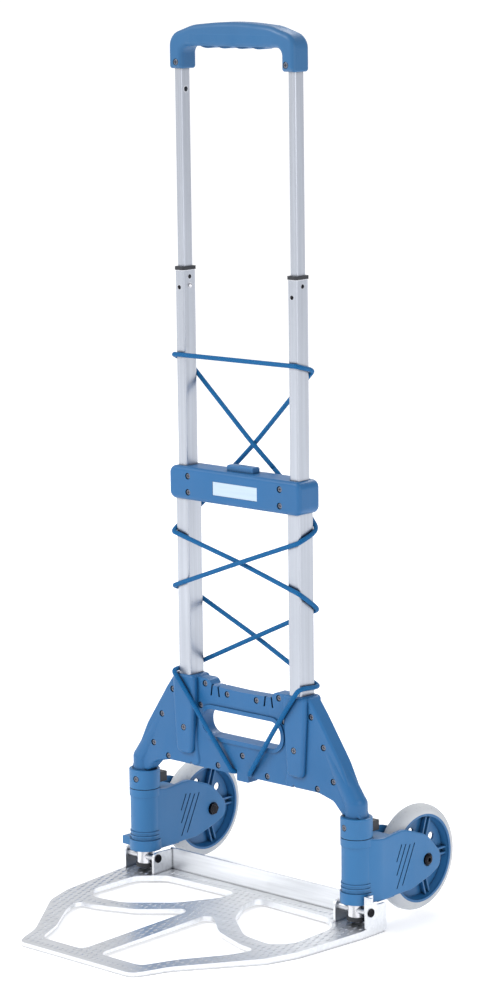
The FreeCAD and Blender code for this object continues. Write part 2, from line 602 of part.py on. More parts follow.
def arm_body(side):
    """Hub on the leg and the fork that carries the wheel; the left one has a cam tab."""
    hub = rod((0, 0, HUB_Z[0]), (0, 0, 1), HUB_R, HUB_Z[1] - HUB_Z[0])
    rings = [rod((0, 0, z), (0, 0, 1), HUB_R + proud, height) for z, proud, height in HUB_RINGS]
    cheeks = [cheek(CHEEK_OUT), mirrored(cheek(-CHEEK_IN))]
    bridge = box(CHEEK_IN + 1, CHEEK_OUT - 1, BLEND_Y - 2, 45, HUB_Z[0], HUB_Z[1] - 5)
    bridge = bridge.cut(rod((-40, ARM_REACH, AXLE_Z), (1, 0, 0), WHEEL_R + 4.0, 80))
    shape = fuse([hub] + rings + cheeks + [bridge])
    shape = shape.cut(rod((0, 0, HUB_Z[0] - 1), (0, 0, 1), LEG_R + FIT, HUB_Z[1]))
    shape = shape.cut(rod((-40, ARM_REACH, AXLE_Z), (1, 0, 0), AXLE_R, 80))
    shape.translate(Vector(LEG_X, 0, 0))
    if side < 0:
        tab = box(LEG_X + 6, LEG_X + 27, -14, -3, HUB_Z[0] + 4, HUB_Z[0] + 14)
        tab = soften(tab, 2.5, lambda p: p.x > LEG_X + 26.9)
        tab = tab.cut(rod((LEG_X, 0, 0), (0, 0, 1), LEG_R + 3, 100))
        shape = fuse([shape, tab])
    return to_side(shape, side)


def hexagon(x0, x1, half_flats):
    """Six-sided prism on the axle."""
    reach = half_flats / math.cos(math.radians(30))
    corners = []
    for count in range(6):
        angle = math.radians(60 * count)
        corners.append((ARM_REACH + reach * math.cos(angle), AXLE_Z + reach * math.sin(angle), 0))
    return slab_yz(corners, x0, x1)


def axle_bolt(side):
    """Axle bolt with a domed socket head outboard of the fork."""
    face_out, face_in = CHEEK_OUT - SEAT_DEEP, CHEEK_IN + SEAT_DEEP
    head_r, head_h = 6.6, 4.0
    shank = rod((face_in - 4.8, ARM_REACH, AXLE_Z), (1, 0, 0), AXLE_R, face_out - face_in + 4.8)
    head = rod((face_out, ARM_REACH, AXLE_Z), (1, 0, 0), head_r, head_h)
    head = soften(head, 2.4, lambda p: abs(p.x - face_out - head_h) < 1e-6)
    shape = fuse([shank, head]).cut(hexagon(face_out + 2.0, face_out + 5.0, 2.7))
    shape.translate(Vector(LEG_X, 0, 0))
    return to_side(shape, side)


def axle_nut(side):
    """Hexagon nut on the axle's inboard end."""
    face_in = CHEEK_IN + SEAT_DEEP
    shape = hexagon(face_in - 4.5, face_in, 6.5)
    shape = shape.cut(rod((face_in - 6, ARM_REACH, AXLE_Z), (1, 0, 0), AXLE_R, 8))
    shape.translate(Vector(LEG_X, 0, 0))
    return to_side(shape, side)


def axle_spacers(side):
    """Tubes that hold the wheel midway between the fork plates."""
    spacers = []
    for direction in (-1, 1):
        start = WHEEL_OUT + direction * (WHEEL_HUB_HALF + GAP)
        length = PLATE_IN - WHEEL_HUB_HALF - GAP
        ring = rod((start, ARM_REACH, AXLE_Z), (direction, 0, 0), 7.0, length)
        spacers.append(ring.cut(rod((start - direction, ARM_REACH, AXLE_Z), (direction, 0, 0), AXLE_R, 20)))
    shape = Part.makeCompound(spacers)
    shape.translate(Vector(LEG_X, 0, 0))
    return to_side(shape, side)


# ---------------------------------------------------------------- wheels
WHEEL_HUB_HALF = 12.5
WHEEL_HUB_R = 15.0
BEARING_R, BEARING_W = 8.0, 5.0
SPOKE_PAIRS = 5
SPOKE_GAP, SPOKE_THICK, SPOKE_HALF = 7.0, 2.2, 7.0
SPOKE_TURN = 19.0         # turn of the first pair from upright, in degrees
DISC_HALF = 1.3           # thin web behind the spokes
DISC_HOLE_R, DISC_HOLE_AT = 5.0, 33.0


def spun(profile, side):
    """Solid of revolution about the wheel's axle from (x, radius) corners."""
    place_x = LEG_X + WHEEL_OUT
    wire = outline(profile, lambda a, b: Vector(place_x + a, ARM_REACH, AXLE_Z + b))
    solid = Part.Face(wire).revolve(Vector(place_x, ARM_REACH, AXLE_Z), Vector(1, 0, 0), 360)
    return to_side(solid, side)


def tyre(side):
    half = TYRE_W / 2
    return spun([(-half, RIM_R, 0), (-half, WHEEL_R, half - 0.8), (half, WHEEL_R, half - 0.8),
                 (half, RIM_R, 0)], side)


def rim(side):
    """Rim: barrel, hub, thin web with round holes, and paired spokes on both of its faces."""
    half, lip, deep = TYRE_W / 2, RIM_R - 3.0, RIM_R - 5.5
    place_x = LEG_X + WHEEL_OUT
    centre = Vector(place_x, ARM_REACH, AXLE_Z)
    barrel = spun([(-half, RIM_R, 0), (-half, lip, 0.8), (-half + 2.5, lip, 0), (-2.0, deep, 0),
                   (2.0, deep, 0), (half - 2.5, lip, 0), (half, lip, 0.8), (half, RIM_R, 0)], 1)
    hub = rod((place_x - WHEEL_HUB_HALF, ARM_REACH, AXLE_Z), (1, 0, 0), WHEEL_HUB_R, 2 * WHEEL_HUB_HALF)
    disc = rod((place_x - DISC_HALF, ARM_REACH, AXLE_Z), (1, 0, 0), deep + 1.0, 2 * DISC_HALF)
    spokes, holes = [], []
    for count in range(SPOKE_PAIRS):
        turn = -SPOKE_TURN - 360.0 / SPOKE_PAIRS * count
        for offset in (-SPOKE_GAP / 2, SPOKE_GAP / 2):
            rib = box(place_x - SPOKE_HALF, place_x + SPOKE_HALF, offset - SPOKE_THICK / 2,
                      offset + SPOKE_THICK / 2, WHEEL_HUB_R - 3, RIM_R - 1.6)
            rib.translate(Vector(0, ARM_REACH, AXLE_Z))
            rib.rotate(centre, Vector(1, 0, 0), turn)
            spokes.append(rib)
        hole = rod((place_x - 5, ARM_REACH, AXLE_Z + DISC_HOLE_AT), (1, 0, 0), DISC_HOLE_R, 10)
        hole.rotate(centre, Vector(1, 0, 0), turn + 180.0 / SPOKE_PAIRS)
        holes.append(hole)
    shape = fuse([barrel, hub, disc] + spokes).cut(bundle(holes))
    shape = shape.cut(rod((place_x - 20, ARM_REACH, AXLE_Z), (1, 0, 0), AXLE_R + 2.0, 40))
    for direction in (-1, 1):
        start = place_x + direction * (WHEEL_HUB_HALF - BEARING_W)
        shape = shape.cut(rod((start, ARM_REACH, AXLE_Z), (direction, 0, 0), BEARING_R, BEARING_W + 1))
    return to_side(shape, side)


def bearings(side):
    """Two plain bearing rings pressed into the wheel's hub."""
    rings = []
    for direction in (-1, 1):
        start = LEG_X + WHEEL_OUT + direction * (WHEEL_HUB_HALF - BEARING_W)
        ring = rod((start, ARM_REACH, AXLE_Z), (direction, 0, 0), BEARING_R, BEARING_W)
        rings.append(ring.cut(rod((start - direction, ARM_REACH, AXLE_Z), (direction, 0, 0),
                                  AXLE_R + FIT, 8.0)))
    return to_side(Part.makeCompound(rings), side)


# ---------------------------------------------------------------- toe plate
PLATE_HALF = [(193.0, PLATE_REAR_Y, 6), (193.0, -20.0, 60), (184.0, -118.0, 60), (171.0, -158.0, 30),
              (106.0, -246.0, 60), (96.0, -272.0, 40), (88.0, PLATE_FRONT_Y, 14)]
REAR_OPENING = [(17.0, -2.0, 10), (128.0, -5.0, 20), (158.0, -30.0, 26), (160.0, -98.0, 18),
                (140.0, -119.0, 18), (96.0, -113.0, 40), (46.0, -74.0, 50), (19.0, -28.0, 20)]
FRONT_OPENING = [(13.0, -92.0, 7), (24.0, -86.0, 7), (66.0, -122.0, 40), (116.0, -140.0, 40),
                 (143.0, -143.0, 9), (128.0, -176.0, 60), (96.0, -222.0, 60), (78.0, -262.0, 14),
                 (13.0, -262.0, 10)]


def mirror_corners(corners):
    """The same outline on the other side, run backwards so that it stays closed the same way."""
    return [(-x, y, radius) for x, y, radius in reversed(corners)]


def plate_top():
    """Everything under the plate's top surface, which slopes down to the front from Y = 0."""
    margin = 5.0
    front, rear = PLATE_FRONT_Y - margin, PLATE_REAR_Y + margin
    fall = (PLATE_TOP_REAR - PLATE_TOP_FRONT) * front / PLATE_FRONT_Y
    return slab_yz([(rear, -1, 0), (rear, PLATE_TOP_REAR, 0), (0, PLATE_TOP_REAR, 0),
                    (front, PLATE_TOP_REAR - fall, 0), (front, -1, 0)], -250, 250)


def lug(inner_x, top, front_tab=False):
    """Hinge lug in the YZ plane; its inner face is at inner_x."""
    nose = PIN_Y - 7.6
    corners = [(PLATE_REAR_Y, 2.0, 0), (PLATE_REAR_Y, FLANGE_TOP - 1.5, 4), (7.0, FLANGE_TOP - 1, 6),
               (0.0, top, 1), (nose, top, 7.4), (nose, 2.0, 0)]
    shape = slab_yz(corners, inner_x, inner_x + LUG_THICK)
    if front_tab:
        strip = box(inner_x, inner_x + LUG_THICK, PIN_Y - 8, PIN_Y + 4, PIN_Z, 48)
        flap = box(inner_x, inner_x + 11.0, PIN_Y - 8, PIN_Y - 5.5, 40, 48)
        shape = fuse([shape, strip, flap])
    return shape


def toe_plate():
    """Pressed plate with four openings, down-turned rims, a rear flange and four hinge lugs."""
    whole = PLATE_HALF + mirror_corners(PLATE_HALF)
    edge, lip_wide = 3.2, 2.6
    inside = []
    for x, y, radius in whole:
        inset_x = -edge if x > 0 else edge
        inset_y = edge if y < -200 else -edge if y > 0 else 0
        inside.append((x + inset_x, y + inset_y, max(radius - edge, 1)))
    under = plate_top()
    under.translate(Vector(0, 0, -PLATE_SHEET))
    openings, lips = [], []
    for corners in (REAR_OPENING, FRONT_OPENING):
        for points in (corners, mirror_corners(corners)):
            openings.append(slab_xy(points, -3.0, 14.0))
            wire = outline(points, lambda a, b: Vector(a, b, 0.0))
            wide = Part.Face(wire).makeOffset2D(lip_wide, 0, False, False, False)
            lips.append(wide.extrude(Vector(0, 0, 12.0)))
    pocket = slab_xy(inside, -2.0, 12.0).common(under).cut(bundle(lips))
    body = slab_xy(whole, 0.0, 12.0).common(plate_top()).cut(pocket).cut(bundle(openings))
    short = box(-250, 250, -320, 60, -5, PLATE_TOP_FRONT - 2.5)
    for lip in lips:
        body = body.cut(lip.common(short))
    flange_in = PLATE_REAR_Y - PLATE_SHEET
    inner, outer = LEG_X - LUG_GAP, LEG_X + LUG_GAP
    pieces = [body, box(-inner, inner, flange_in, PLATE_REAR_Y, 2.0, FLANGE_TOP)]
    for side in SIDES.values():
        pieces.append(to_side(lug(inner - LUG_THICK, PIN_Z + 7.5), side))
        pieces.append(to_side(lug(outer, 36.0 if side < 0 else 39.0, side > 0), side))
        strip = box(inner - LUG_THICK, outer + LUG_THICK, flange_in, PLATE_REAR_Y, 2.0, 22.0)
        pieces.append(to_side(strip, side))
    shape = fuse(pieces)
    for side in SIDES.values():
        shape = shape.cut(rod((side * LEG_X - 40, PIN_Y, PIN_Z), (1, 0, 0), PIN_R, 80))
    return shape


def hinge_pins():
    """Hinge pins, headed at both ends, pressed into the lugs."""
    reach = LUG_GAP + LUG_THICK
    shank = rod((LEG_X - reach, PIN_Y, PIN_Z), (1, 0, 0), PIN_R, 2 * reach)
    heads = [rod((LEG_X + direction * reach, PIN_Y, PIN_Z), (direction, 0, 0), PIN_R + 1.0, 1.2)
             for direction in (-1, 1)]
    right = fuse([shank] + heads)
    return Part.makeCompound([mirrored(right), right])


# ---------------------------------------------------------------- small inner parts
def guide_pads(side_gap, width_axis, z0, z1):
    """Thin slide pads fixed inside a tube's mouth, on its two narrow or two wide walls."""
    pads = []
    for side in SIDES.values():
        for direction in (-1, 1):
            near, far = side_gap
            low, high = sorted((direction * near, direction * far))
            centre = side * TUBE_X
            if width_axis == "x":
                pads.append(box(centre - 3.5, centre + 3.5, low, high, z0, z1))
            else:
                pads.append(box(centre + low, centre + high, -6.0, 6.0, z0, z1))
    return Part.makeCompound(pads)


def latch_spring():
    """V-shaped leaf spring inside the left upper tube, behind the spring button."""
    x = -TUBE_X
    corners = [(x - 4.0, 712.0, 0), (x - 3.4, 712.0, 0), (x + 0.2, 735.0, 0.2), (x + 3.4, 727.0, 0.2),
               (x + 3.4, 719.0, 0), (x + 4.0, 719.0, 0), (x + 4.0, 727.4, 0.4), (x + 0.2, 736.6, 0.6)]
    return slab_xz(corners, -3.0, 3.0)


def leg_rings(inner, outer, z0, z1):
    """One flat ring on each leg."""
    rings = []
    for side in SIDES.values():
        ring = rod((side * LEG_X, 0, z0), (0, 0, 1), outer, z1 - z0)
        rings.append(ring.cut(rod((side * LEG_X, 0, z0 - 1), (0, 0, 1), inner, z1 - z0 + 2)))
    return Part.makeCompound(rings)


# ---------------------------------------------------------------- elastic cord
# One endless lacing: it hooks under the frame's tab, crosses in front of and behind the tubes,
# and its top loop goes round the middle tubes.  Route points are (x, y, z, arc radius); an arc
# radius of 0 means as large as the two runs allow.
SIDE_OUT, FACE_OUT = 99.65, 16.1      # beside and before an outer tube
SIDE_MID, FACE_MID = 96.95, 13.65     # beside and before a middle tube
PANEL_Y = 19.3                        # before the frame's side panels
TAB_X, TAB_Y, TAB_Z = 12.4, 11.4, 158.6
CROSS_BACK = 21.1                     # behind the crossbar
UNDER, OVER = 12.2, 19.6              # one strand passes beneath the other between the tubes
SPLIT_Z = 519.0                       # the top loop is a separate length above this
WRAP = 6.0

LEFT_STRAND = [
    (0.0, TAB_Y, TAB_Z, 0),
    (-TAB_X, TAB_Y, TAB_Z, 5.0),
    (-TAB_X, -TAB_Y, TAB_Z, 5.0),
    (-73.0, -PANEL_Y, 241.0, 0),
    (-SIDE_OUT, -PANEL_Y, 271.0, WRAP),
    (-SIDE_OUT, FACE_OUT, 270.0, WRAP),
    (0.0, UNDER, 317.0, 0),
    (SIDE_OUT, FACE_OUT, 364.5, WRAP),
    (SIDE_OUT, -FACE_OUT, 386.5, WRAP),
    (4.5, -UNDER, 410.5, 0),
    (-SIDE_OUT, -FACE_OUT, 436.5, WRAP),
    (-SIDE_OUT, FACE_OUT, 452.0, WRAP),
    (-76.4, CROSS_BACK, 474.0, 0),
    (-36.5, CROSS_BACK, 513.0, 0),
    (-30.0, 21.3, SPLIT_Z, 0),
]
RIGHT_STRAND = [
    (0.0, TAB_Y, TAB_Z, 0),
    (TAB_X, TAB_Y, TAB_Z, 5.0),
    (TAB_X, -TAB_Y, TAB_Z, 5.0),
    (73.0, -PANEL_Y, 241.0, 0),
    (SIDE_OUT, -PANEL_Y, 277.0, WRAP),
    (SIDE_OUT, FACE_OUT, 273.5, WRAP),
    (0.0, OVER, 317.0, 0),
    (-SIDE_OUT, FACE_OUT, 360.5, WRAP),
    (-SIDE_OUT, -FACE_OUT, 371.0, WRAP),
    (4.5, -OVER, 410.5, 0),
    (SIDE_OUT, -FACE_OUT, 446.0, WRAP),
    (SIDE_OUT, FACE_OUT, 456.0, WRAP),
    (79.8, CROSS_BACK, 474.0, 0),
    (36.5, CROSS_BACK, 513.0, 0),
    (29.8, 20.2, SPLIT_Z, 0),
]
TOP_LOOP = [
    (-30.0, 21.3, SPLIT_Z, 0),
    (-0.5, 22.2, 546.3, 0),
    (SIDE_MID, FACE_MID, 639.5, WRAP),
    (SIDE_MID, -FACE_MID, 646.5, WRAP),
    (-SIDE_MID, -FACE_MID, 645.0, WRAP),
    (-SIDE_MID, FACE_MID, 633.5, WRAP),
    (-0.5, 16.3, 546.3, 0),
    (29.8, 20.2, SPLIT_Z, 0),
]


def cord_tube(route):
    """Round tube along straight runs joined by tangent arcs."""
    points = [Vector(*entry[:3]) for entry in route]
    edges, radii = [], []
    last, length = points[0], 0.0
    for i in range(1, len(route) - 1):
        here = points[i]
        back, ahead = points[i - 1] - here, points[i + 1] - here
        shorter = min(back.Length, ahead.Length)
        back.normalize()
        ahead.normalize()
        half = 0.5 * math.acos(max(-1.0, min(1.0, back.dot(ahead))))
        bend = route[i][3] or 0.45 * shorter * math.tan(half)
        cut = bend / math.tan(half)
        bisector = back + ahead
        bisector.normalize()
        start, end = here + back * cut, here + ahead * cut
        edges.append(Part.LineSegment(last, start).toShape())
        edges.append(Part.Arc(start, here + bisector * (bend / math.sin(half) - bend), end).toShape())
        length += last.distanceToPoint(start) + bend * (math.pi - 2 * half)
        radii.append(round(bend, 1))
        last = end
    edges.append(Part.LineSegment(last, points[-1]).toShape())
    length += last.distanceToPoint(points[-1])
    section = Part.makeCircle(CORD_R, points[0], points[1] - points[0])
    solid = Part.Wire(edges).makePipeShell([Part.Wire([section])], True, False)
    print("cord: length %.0f, volume %.0f, section times length %.0f" % (
        length, solid.Volume, math.pi * CORD_R ** 2 * length))
    print("cord: arc radii", radii)
    return solid


# ---------------------------------------------------------------- all the sub-parts
def build():
    save("frame_front_shell", frame_shell(-1))
    save("frame_rear_shell", frame_shell(1))
    save("frame_screws", frame_screws())
    save("crossbar_front_shell", crossbar_shell(-1))
    save("crossbar_rear_shell", crossbar_shell(1))
    save("crossbar_screws", crossbar_screws())
    save("label_plate", label_plate())
    save("release_button", release_button())
    save("lock_bar", lock_bar())
    save("button_spring", coil(0, 0, LOCK_Z[0] - 14, LOCK_Z[0], 4.0, 0.6, 5))
    save("collar_screws", collar_screws())
    save("thrust_washers", leg_rings(LEG_R + FIT, 17.0, HUB_Z[1] + 0.05, COLLAR_Z - 0.05))
    save("leg_circlips", leg_rings(LEG_R, 13.2, HUB_Z[0] - 1.7, HUB_Z[0] - 0.2))
    save("stage_rivets", stage_rivets())
    save("snap_button", snap_button())
    save("latch_spring", latch_spring())
    save("lower_guide_pads", guide_pads((MID_W / 2 + GAP, OUTER_W / 2 - OUTER_WALL), "y",
                                        OUTER_Z[1] - 38, OUTER_Z[1] - 2))
    save("upper_guide_pads", guide_pads((UPPER_D / 2 + GAP, MID_D / 2 - MID_WALL), "x",
                                        MID_Z[1] - 40, MID_Z[1] - 2))
    save("grip_body", grip_body())
    save("grip_insert", grip_insert())
    save("grip_screws", grip_screws())
    save("toe_plate", toe_plate())
    save("hinge_pins", hinge_pins())
    for name, side in SIDES.items():
        save("outer_tube_" + name, outer_tube(side))
        save("mid_tube_" + name, mid_tube(side))
        save("upper_tube_" + name, upper_tube(side))
        save("mid_cap_" + name, cap_ring(MID_W + 1.4, MID_D + 1.4, UPPER_W + 2 * GAP, UPPER_D + 2 * GAP,
                                         MID_Z[1], MID_Z[1] + 4, side))
        save("mid_glide_" + name, glide(OUTER_W - 2 * OUTER_WALL - 0.2, OUTER_D - 2 * OUTER_WALL - 0.2,
                                        MID_W, MID_D, MID_WALL, MID_Z[0], side))
        save("upper_glide_" + name, glide(MID_W - 2 * MID_WALL - 0.2, MID_D - 2 * MID_WALL - 0.2,
                                          UPPER_W, UPPER_D, UPPER_WALL, UPPER_Z[0], side))
        save("leg_tube_" + name, leg_tube(side))
        save("foot_plug_" + name, foot_plug(side))
        save("collar_" + name, collar(side))
        save("stop_block_" + name, stop_block(side))
        save("wheel_arm_" + name, arm_body(side))
        save("axle_bolt_" + name, axle_bolt(side))
        save("axle_nut_" + name, axle_nut(side))
        save("axle_spacers_" + name, axle_spacers(side))
        save("rim_" + name, rim(side))
        save("tyre_" + name, tyre(side))
        save("wheel_bearings_" + name, bearings(side))
    save("cord_lower_left", cord_tube(LEFT_STRAND))
    save("cord_lower_right", cord_tube(RIGHT_STRAND))
    save("cord_top_loop", cord_tube(TOP_LOOP))


build()
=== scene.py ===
"""Looks of the folding hand truck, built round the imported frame.

Metres.  +Z is up, -Y is the load side and the wheels stand behind at +Y.  Materials come first,
then the CAD nodes' finishes, the pieces made here, the cord, and the studio.
"""
import bpy
import json
import math
from mathutils import Matrix, Vector


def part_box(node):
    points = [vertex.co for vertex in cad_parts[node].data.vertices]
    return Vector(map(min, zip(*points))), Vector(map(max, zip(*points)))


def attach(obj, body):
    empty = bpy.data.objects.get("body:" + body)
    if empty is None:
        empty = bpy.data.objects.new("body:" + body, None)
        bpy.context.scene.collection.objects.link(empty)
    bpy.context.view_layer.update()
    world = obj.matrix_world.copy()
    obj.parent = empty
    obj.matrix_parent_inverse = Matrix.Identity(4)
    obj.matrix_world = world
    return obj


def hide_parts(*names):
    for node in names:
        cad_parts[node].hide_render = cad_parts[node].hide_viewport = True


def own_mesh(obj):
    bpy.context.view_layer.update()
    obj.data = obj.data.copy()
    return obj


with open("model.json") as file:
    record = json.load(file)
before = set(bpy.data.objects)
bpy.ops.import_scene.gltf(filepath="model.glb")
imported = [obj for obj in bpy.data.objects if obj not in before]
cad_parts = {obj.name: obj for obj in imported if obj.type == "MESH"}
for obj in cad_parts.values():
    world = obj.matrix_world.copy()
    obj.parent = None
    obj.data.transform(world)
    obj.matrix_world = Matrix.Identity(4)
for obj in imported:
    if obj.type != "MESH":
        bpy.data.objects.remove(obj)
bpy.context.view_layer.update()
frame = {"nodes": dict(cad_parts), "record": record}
MM = 0.001
LEG_X = 168.0 * MM                    # leg axes from the middle plane
PIN_SHANK_HALF = 24.8 * MM            # half length of a hinge pin between its heads
PAINTED_SHADE_COLOUR = (0.004, 0.008, 0.02, 1.0)     # colour of the painted shade in seams and corners


# ---------------------------------------------------------------- materials
def linear(red, green, blue):
    """Linear colour from 8-bit sRGB values."""
    channels = [value / 255.0 for value in (red, green, blue)]
    curved = [c / 12.92 if c <= 0.04045 else ((c + 0.055) / 1.055) ** 2.4 for c in channels]
    return tuple(curved) + (1.0,)


def new_material(name, roughness, metallic, **sockets):
    """Material with one Principled shader; sockets are its constant inputs, by name."""
    material = bpy.data.materials.new(name)
    material.use_nodes = True
    shader = material.node_tree.nodes["Principled BSDF"]
    shader.inputs["Roughness"].default_value = roughness
    shader.inputs["Metallic"].default_value = metallic
    for socket, value in sockets.items():
        shader.inputs[socket.replace("_", " ")].default_value = value
    return material


def node(material, kind, **settings):
    """New shader node; settings are its properties or the constants on its sockets."""
    made = material.node_tree.nodes.new(kind)
    for name, value in settings.items():
        if hasattr(made, name):
            setattr(made, name, value)
        else:
            made.inputs[name.replace("_", " ")].default_value = value
    return made


def link(material, start, end):
    material.node_tree.links.new(start, end)


def shader_of(material):
    return material.node_tree.nodes["Principled BSDF"]


def place_of(material, stretch=(1.0, 1.0, 1.0)):
    """Object coordinates, stretched along the axes."""
    coordinates = node(material, "ShaderNodeTexCoord")
    mapping = node(material, "ShaderNodeMapping")
    mapping.inputs["Scale"].default_value = stretch
    link(material, coordinates.outputs["Object"], mapping.inputs["Vector"])
    return mapping.outputs["Vector"]


def noise(material, scale, detail=4.0, stretch=(1.0, 1.0, 1.0)):
    """Noise from 0 to 1 in object coordinates."""
    made = node(material, "ShaderNodeTexNoise", Scale=scale, Detail=detail)
    link(material, place_of(material, stretch), made.inputs["Vector"])
    return made.outputs["Fac"]


def spread(material, source, low, high, to_low=0.0, to_high=1.0):
    """source between low and high, mapped to to_low and to_high and clamped."""
    made = node(material, "ShaderNodeMapRange")
    for name, value in (("From Min", low), ("From Max", high), ("To Min", to_low), ("To Max", to_high)):
        made.inputs[name].default_value = value
    link(material, source, made.inputs["Value"])
    return made.outputs["Result"]


def mix(material, factor, first, second):
    """Colour that goes from first to second with factor; each is a colour or an output."""
    made = node(material, "ShaderNodeMix", data_type="RGBA")
    link(material, factor, made.inputs["Factor"])
    for socket, value in ((made.inputs[6], first), (made.inputs[7], second)):
        if isinstance(value, tuple):
            socket.default_value = value
        else:
            link(material, value, socket)
    return made.outputs[2]


def combine(material, operation, first, second):
    """Math node on two numbers or outputs."""
    made = node(material, "ShaderNodeMath", operation=operation)
    for socket, value in ((made.inputs[0], first), (made.inputs[1], second)):
        if isinstance(value, float):
            socket.default_value = value
        else:
            link(material, value, socket)
    return made.outputs[0]


def bump(material, height, strength, distance):
    """Surface relief from a height between 0 and 1."""
    made = node(material, "ShaderNodeBump", Strength=strength, Distance=distance)
    link(material, height, made.inputs["Height"])
    link(material, made.outputs["Normal"], shader_of(material).inputs["Normal"])


def edge_mask(material, radius):
    """1 on sharp convex and concave edges, 0 on flat faces."""
    rounded = node(material, "ShaderNodeBevel", samples=4, Radius=radius)
    geometry = node(material, "ShaderNodeNewGeometry")
    product = node(material, "ShaderNodeVectorMath", operation="DOT_PRODUCT")
    link(material, rounded.outputs["Normal"], product.inputs[0])
    link(material, geometry.outputs["Normal"], product.inputs[1])
    return spread(material, product.outputs["Value"], 0.99, 0.80)


def with_painted_shade(material, base, distance, depth):
    """base, with painted shade: darkened in corners and seams narrower than distance by up to depth."""
    open_air = node(material, "ShaderNodeAmbientOcclusion", samples=6, Distance=distance)
    painted_shade_amount = spread(material, open_air.outputs["AO"], 0.35, 0.85, depth, 0.0)
    return mix(material, painted_shade_amount, base, PAINTED_SHADE_COLOUR)


def moulded_plastic(name, colour, roughness, grain, wear_and_highlight=0.35):
    """Moulded plastic: fine eroded grain, slow mottling, scuffs, edges made lighter partly as wear and
    partly as a painted highlight, and painted shade in corners.
    """
    material = new_material(name, roughness, 0.0, Specular_IOR_Level=0.45, Coat_Weight=0.08,
                            Coat_Roughness=0.25)
    mottle = spread(material, noise(material, 9.0, 3.0), 0.3, 0.7)
    darker = tuple(0.90 * c for c in colour[:3]) + (1.0,)
    lighter = tuple(min(1.0, 1.45 * c + 0.03) for c in colour[:3]) + (1.0,)
    base = mix(material, mottle, darker, colour)
    # edges made lighter: partly rubbed wear, partly a painted highlight on the rounded edges
    rub = combine(material, "MULTIPLY", edge_mask(material, 0.8 * MM), noise(material, 60.0, 6.0))
    base = mix(material, combine(material, "MULTIPLY", rub, wear_and_highlight), base, lighter)
    # painted shade: corners and seams darkened by ambient occlusion
    base = with_painted_shade(material, base, 5.0 * MM, 0.8)
    link(material, base, shader_of(material).inputs["Base Color"])
    scuffs = noise(material, 35.0, 8.0, (1.0, 1.0, 0.35))
    link(material, spread(material, scuffs, 0.35, 0.75, roughness - 0.06, roughness + 0.16),
         shader_of(material).inputs["Roughness"])
    bump(material, noise(material, 1500.0, 2.0), grain, 0.15 * MM)
    return material


UPRIGHT = (1.0, 1.0, 0.02)


def drawn_metal(name, colour, roughness, stretch, shade=0.86, scratches=0.25):
    """Metal drawn or brushed along the axis that stretch shrinks."""
    material = new_material(name, roughness, 1.0)
    streaks = noise(material, 260.0, 6.0, stretch)
    clouds = noise(material, 7.0, 3.0)
    darker = tuple(shade * c for c in colour[:3]) + (1.0,)
    base = mix(material, spread(material, streaks, 0.3, 0.7), darker, colour)
    base = mix(material, spread(material, clouds, 0.45, 0.8, 0.0, 0.4), base, darker)
    # painted shade: corners and seams darkened by ambient occlusion
    base = with_painted_shade(material, base, 4.0 * MM, 0.75)
    link(material, base, shader_of(material).inputs["Base Color"])
    link(material, spread(material, clouds, 0.3, 0.7, roughness - 0.05, roughness + 0.08),
         shader_of(material).inputs["Roughness"])
    bump(material, streaks, scratches, 0.05 * MM)
    return material


def drawn_tube(name, colour, corner_highlight_colour, roughness):
    """Drawn tube whose rounded corners between its brushed flats are painted brighter as a highlight."""
    material = drawn_metal(name, colour, roughness, UPRIGHT)
    base = shader_of(material).inputs["Base Color"]
    # painted highlight on the tube's rounded corners
    corner = spread(material, edge_mask(material, 2.2 * MM), 0.0, 0.5)
    link(material, mix(material, corner, base.links[0].from_socket, corner_highlight_colour), base)
    return material


def dark_metal(name, colour, roughness):
    """Blackened steel, rubbed bright on its edges."""
    material = new_material(name, roughness, 1.0)
    rub = combine(material, "MULTIPLY", edge_mask(material, 0.35 * MM), noise(material, 240.0, 5.0))
    base = mix(material, rub, colour, linear(165, 165, 170))
    # painted shade: corners and seams darkened by ambient occlusion
    base = with_painted_shade(material, base, 1.5 * MM, 0.9)
    link(material, base, shader_of(material).inputs["Base Color"])
    bump(material, noise(material, 900.0, 3.0), 0.2, 0.05 * MM)
    return material


def pin_metal(name, head_colour, shank_colour, roughness):
    """Hinge pins: blackened heads outside the lugs, bright shanks between them."""
    material = dark_metal(name, head_colour, roughness)
    parts = node(material, "ShaderNodeSeparateXYZ")
    link(material, place_of(material), parts.inputs["Vector"])
    across = combine(material, "ABSOLUTE", parts.outputs["X"], 0.0)
    offset = combine(material, "ABSOLUTE", combine(material, "SUBTRACT", across, LEG_X), 0.0)
    shank = combine(material, "LESS_THAN", offset, PIN_SHANK_HALF)
    base = shader_of(material).inputs["Base Color"]
    link(material, mix(material, shank, base.links[0].from_socket, shank_colour), base)
    return material


def grey_rubber(name, colour):
    """Light rubber with moulding rings, dust and a matt bloom."""
    material = new_material(name, 0.62, 0.0, Specular_IOR_Level=0.35, Sheen_Weight=0.12)
    dust = spread(material, noise(material, 22.0, 6.0), 0.35, 0.75)
    base = mix(material, dust, colour, linear(203, 205, 206))
    specks = spread(material, noise(material, 420.0, 4.0), 0.62, 0.72, 0.0, 0.5)
    base = mix(material, specks, base, linear(145, 148, 151))
    link(material, base, shader_of(material).inputs["Base Color"])
    bump(material, noise(material, 700.0, 4.0), 0.35, 0.12 * MM)
    return material


